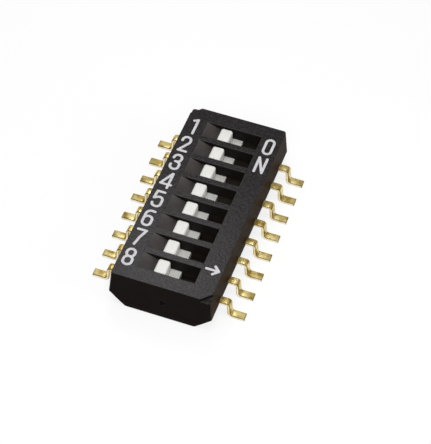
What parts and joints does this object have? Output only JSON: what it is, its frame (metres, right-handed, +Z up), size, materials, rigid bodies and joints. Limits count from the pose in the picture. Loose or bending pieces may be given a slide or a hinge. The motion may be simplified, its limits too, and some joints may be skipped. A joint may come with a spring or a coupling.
{
  "type": "dip switch",
  "caption": "Low black row of miniature slide switches with white sliders in ramped slots and gold gull-wing terminals, for setting options on a circuit board.",
  "frame": {"origin": "on the board, under the middle of the row", "axes": "+Z up from the board, +Y along the row towards switch 1, +X across the row in the ON direction"},
  "size_m": [0.0078, 0.0116, 0.0022],
  "materials": {
    "cover_black": "moulded, fine matt grain",
    "base_black": "moulded, satin",
    "slider_white": "moulded, satin",
    "terminal_gold": "gold plated, bright",
    "spring_gold": "gold plated, stamped and formed"
  },
  "bodies": {
    "housing": {"cover": "cover_black", "base": "base_black", "terminal_1": "terminal_gold", "terminal_2": "terminal_gold", "terminal_3": "terminal_gold", "terminal_4": "terminal_gold", "terminal_5": "terminal_gold", "terminal_6": "terminal_gold", "terminal_7": "terminal_gold", "terminal_8": "terminal_gold", "terminal_9": "terminal_gold", "terminal_10": "terminal_gold", "terminal_11": "terminal_gold", "terminal_12": "terminal_gold", "terminal_13": "terminal_gold", "terminal_14": "terminal_gold", "terminal_15": "terminal_gold", "terminal_16": "terminal_gold"},
    "switch_1": {"slider_1": "slider_white", "contact_spring_1": "spring_gold"},
    "switch_2": {"slider_2": "slider_white", "contact_spring_2": "spring_gold"},
    "switch_3": {"slider_3": "slider_white", "contact_spring_3": "spring_gold"},
    "switch_4": {"slider_4": "slider_white", "contact_spring_4": "spring_gold"},
    "switch_5": {"slider_5": "slider_white", "contact_spring_5": "spring_gold"},
    "switch_6": {"slider_6": "slider_white", "contact_spring_6": "spring_gold"},
    "switch_7": {"slider_7": "slider_white", "contact_spring_7": "spring_gold"},
    "switch_8": {"slider_8": "slider_white", "contact_spring_8": "spring_gold"}
  },
  "joints": [
    {"name": "switch_1_slide", "type": "slide", "parent": "housing", "child": "switch_1", "axis": [1, 0, 0], "range_m": [0, 0.00094]},
    {"name": "switch_2_slide", "type": "slide", "parent": "housing", "child": "switch_2", "axis": [1, 0, 0], "range_m": [0, 0.00094]},
    {"name": "switch_3_slide", "type": "slide", "parent": "housing", "child": "switch_3", "axis": [1, 0, 0], "range_m": [0, 0.00094]},
    {"name": "switch_4_slide", "type": "slide", "parent": "housing", "child": "switch_4", "axis": [1, 0, 0], "range_m": [0, 0.00094]},
    {"name": "switch_5_slide", "type": "slide", "parent": "housing", "child": "switch_5", "axis": [1, 0, 0], "range_m": [0, 0.00094]},
    {"name": "switch_6_slide", "type": "slide", "parent": "housing", "child": "switch_6", "axis": [1, 0, 0], "range_m": [0, 0.00094]},
    {"name": "switch_7_slide", "type": "slide", "parent": "housing", "child": "switch_7", "axis": [1, 0, 0], "range_m": [0, 0.00094]},
    {"name": "switch_8_slide", "type": "slide", "parent": "housing", "child": "switch_8", "axis": [1, 0, 0], "range_m": [0, 0.00094]}
  ]
}
